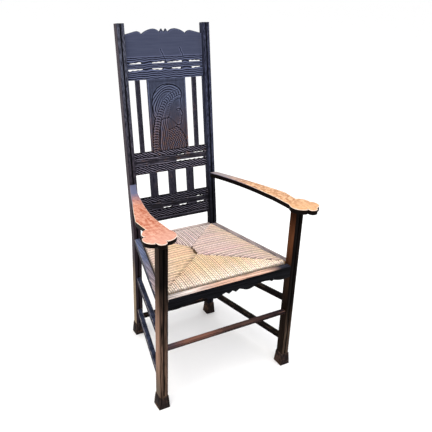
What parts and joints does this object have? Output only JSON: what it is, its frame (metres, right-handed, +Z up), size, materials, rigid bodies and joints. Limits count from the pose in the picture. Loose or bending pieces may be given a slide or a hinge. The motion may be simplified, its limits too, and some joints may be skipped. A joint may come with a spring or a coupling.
{
  "type": "high-back armchair",
  "caption": "High-back armchair in ebonised wood: flared feet, pierced reeded back rails under a scalloped crest, carved splat, flat lobed arms and a loose rush seat",
  "frame": {"origin": "on the floor under the centre of the chair's bounding box", "axes": "+Z up, -Y the way the chair faces, +X to the right of someone who looks at its front"},
  "size_m": [0.6548, 0.6312, 1.2254],
  "materials": {
    "ebonised_wood": "satin, worn",
    "worn_arm_wood": "satin, worn through",
    "worn_brown_wood": "satin, worn",
    "rush": "matt",
    "seat_frame_wood": "raw"
  },
  "bodies": {
    "frame": {"back_post_left": "ebonised_wood", "back_post_right": "ebonised_wood", "front_post_left": "ebonised_wood", "front_post_right": "ebonised_wood", "crest_rail": "ebonised_wood", "middle_rail": "ebonised_wood", "lower_rail": "ebonised_wood", "carved_splat": "ebonised_wood", "side_slat_left": "ebonised_wood", "side_slat_right": "ebonised_wood", "short_slat_left": "ebonised_wood", "short_slat_centre": "ebonised_wood", "short_slat_right": "ebonised_wood", "arm_left": "worn_arm_wood", "arm_right": "worn_arm_wood", "front_seat_rail": "ebonised_wood", "side_seat_rail_left": "ebonised_wood", "side_seat_rail_right": "ebonised_wood", "back_seat_rail": "ebonised_wood", "front_stretcher": "worn_brown_wood", "rear_stretcher": "ebonised_wood", "upper_side_stretcher_left": "ebonised_wood", "upper_side_stretcher_right": "ebonised_wood", "lower_side_stretcher_left": "ebonised_wood", "lower_side_stretcher_right": "ebonised_wood"},
    "seat": {"rush_seat": "rush", "seat_frame_front": "seat_frame_wood", "seat_frame_back": "seat_frame_wood", "seat_frame_left": "seat_frame_wood", "seat_frame_right": "seat_frame_wood"}
  },
  "joints": [
    {"name": "seat_lift", "type": "slide", "parent": "frame", "child": "seat", "axis": [0, 0, 1], "range_m": [0, 0.12]}
  ]
}
